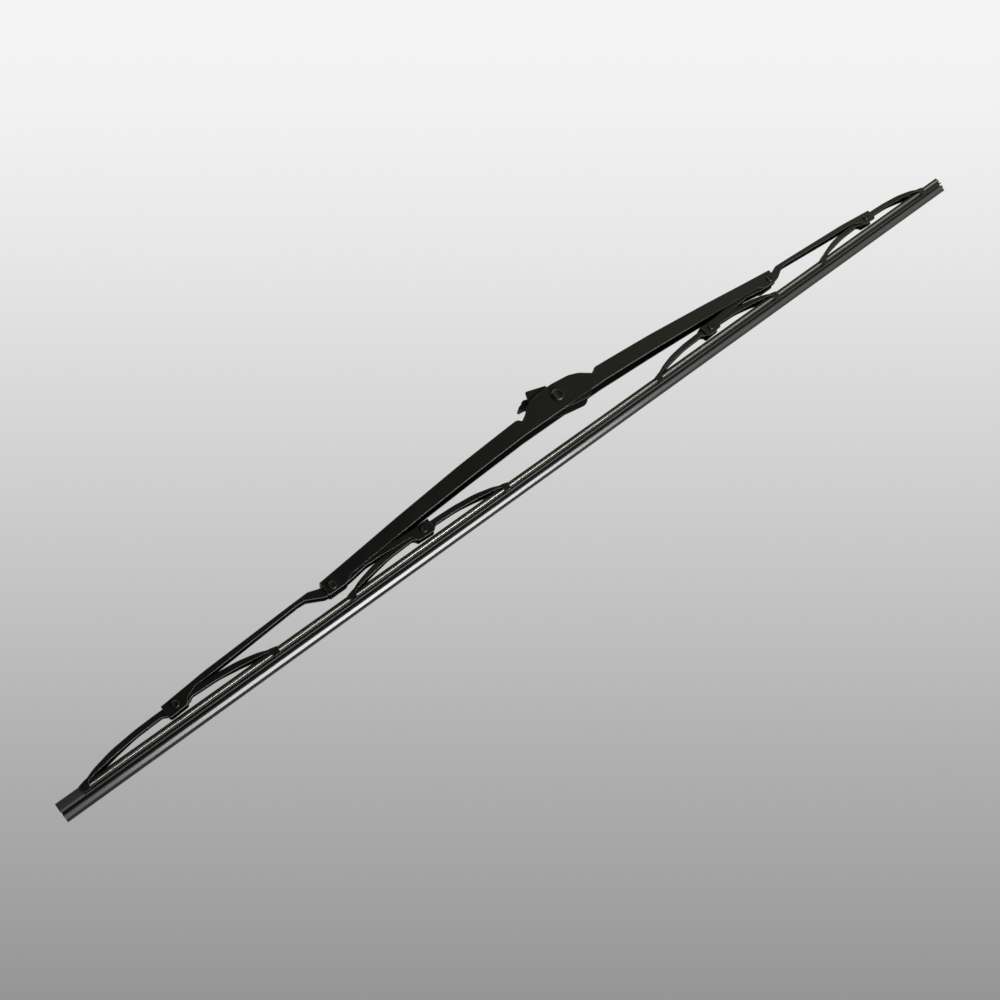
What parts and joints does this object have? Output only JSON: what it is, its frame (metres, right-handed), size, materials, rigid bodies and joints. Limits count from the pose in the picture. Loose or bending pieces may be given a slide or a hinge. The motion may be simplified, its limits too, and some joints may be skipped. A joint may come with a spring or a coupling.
{
  "type": "wiper blade",
  "caption": "Framed windscreen wiper blade: a steel bridge with nested rocking yokes and claws holds a rubber lip, with a plastic clip at the middle for a hook-ended arm.",
  "frame": {"origin": "on the centre pin's axis, midway across the bridge, where the arm's hook turns", "axes": "+X along the blade, +Z away from the glass, +Y across the blade"},
  "size_m": [0.65, 0.0166, 0.0456],
  "materials": {
    "black_paint": "satin",
    "black_rivet": "satin",
    "adapter_plastic": "fine grain",
    "liner_plastic": "smooth",
    "spring_steel": "rolled",
    "wiper_rubber": "satin"
  },
  "bodies": {
    "bridge": {"main_bridge": "black_paint", "bridge_rivet_left": "black_rivet", "bridge_rivet_right": "black_rivet", "centre_pin": "black_rivet", "wiper_rubber": "wiper_rubber", "spring_strip_front": "spring_steel", "spring_strip_rear": "spring_steel"},
    "adapter": {"arm_adapter": "adapter_plastic"},
    "secondary_left": {"secondary_yoke_left": "black_paint", "bridge_liner_left": "liner_plastic", "yoke_rivet_outer_left": "black_rivet", "yoke_rivet_inner_left": "black_rivet"},
    "claw_outer_left": {"claw_yoke_outer_left": "black_paint", "claw_liner_outer_left": "liner_plastic"},
    "claw_inner_left": {"claw_yoke_inner_left": "black_paint", "claw_liner_inner_left": "liner_plastic"},
    "secondary_right": {"secondary_yoke_right": "black_paint", "bridge_liner_right": "liner_plastic", "yoke_rivet_outer_right": "black_rivet", "yoke_rivet_inner_right": "black_rivet"},
    "claw_outer_right": {"claw_yoke_outer_right": "black_paint", "claw_liner_outer_right": "liner_plastic"},
    "claw_inner_right": {"claw_yoke_inner_right": "black_paint", "claw_liner_inner_right": "liner_plastic"}
  },
  "joints": [
    {"name": "secondary_left_rock", "type": "hinge", "parent": "bridge", "child": "secondary_left", "pos_m": [-0.1654, 0, -0.0148], "axis": [0, -1, 0], "range_deg": [-6, 6], "stiffness_Nm_per_rad": 1, "deforming": ["wiper_rubber", "spring_strip_front", "spring_strip_rear"]},
    {"name": "claw_outer_left_rock", "type": "hinge", "parent": "secondary_left", "child": "claw_outer_left", "pos_m": [-0.2577, 0, -0.018], "axis": [0, -1, 0], "range_deg": [-3, 3], "stiffness_Nm_per_rad": 0.3, "deforming": ["wiper_rubber", "spring_strip_front", "spring_strip_rear"]},
    {"name": "claw_inner_left_rock", "type": "hinge", "parent": "secondary_left", "child": "claw_inner_left", "pos_m": [-0.1096, 0, -0.018], "axis": [0, 1, 0], "range_deg": [-3, 2.5], "stiffness_Nm_per_rad": 0.3, "deforming": ["wiper_rubber", "spring_strip_front", "spring_strip_rear"]},
    {"name": "secondary_right_rock", "type": "hinge", "parent": "bridge", "child": "secondary_right", "pos_m": [0.1654, 0, -0.0148], "axis": [0, 1, 0], "range_deg": [-6, 6], "stiffness_Nm_per_rad": 1, "deforming": ["wiper_rubber", "spring_strip_front", "spring_strip_rear"]},
    {"name": "claw_outer_right_rock", "type": "hinge", "parent": "secondary_right", "child": "claw_outer_right", "pos_m": [0.2577, 0, -0.018], "axis": [0, 1, 0], "range_deg": [-3, 3], "stiffness_Nm_per_rad": 0.3, "deforming": ["wiper_rubber", "spring_strip_front", "spring_strip_rear"]},
    {"name": "claw_inner_right_rock", "type": "hinge", "parent": "secondary_right", "child": "claw_inner_right", "pos_m": [0.1096, 0, -0.018], "axis": [0, -1, 0], "range_deg": [-3, 2.5], "stiffness_Nm_per_rad": 0.3, "deforming": ["wiper_rubber", "spring_strip_front", "spring_strip_rear"]},
    {"name": "adapter_swing", "type": "hinge", "parent": "bridge", "child": "adapter", "pos_m": [0, 0, 0], "axis": [0, 1, 0], "range_deg": [-2, 25]}
  ]
}
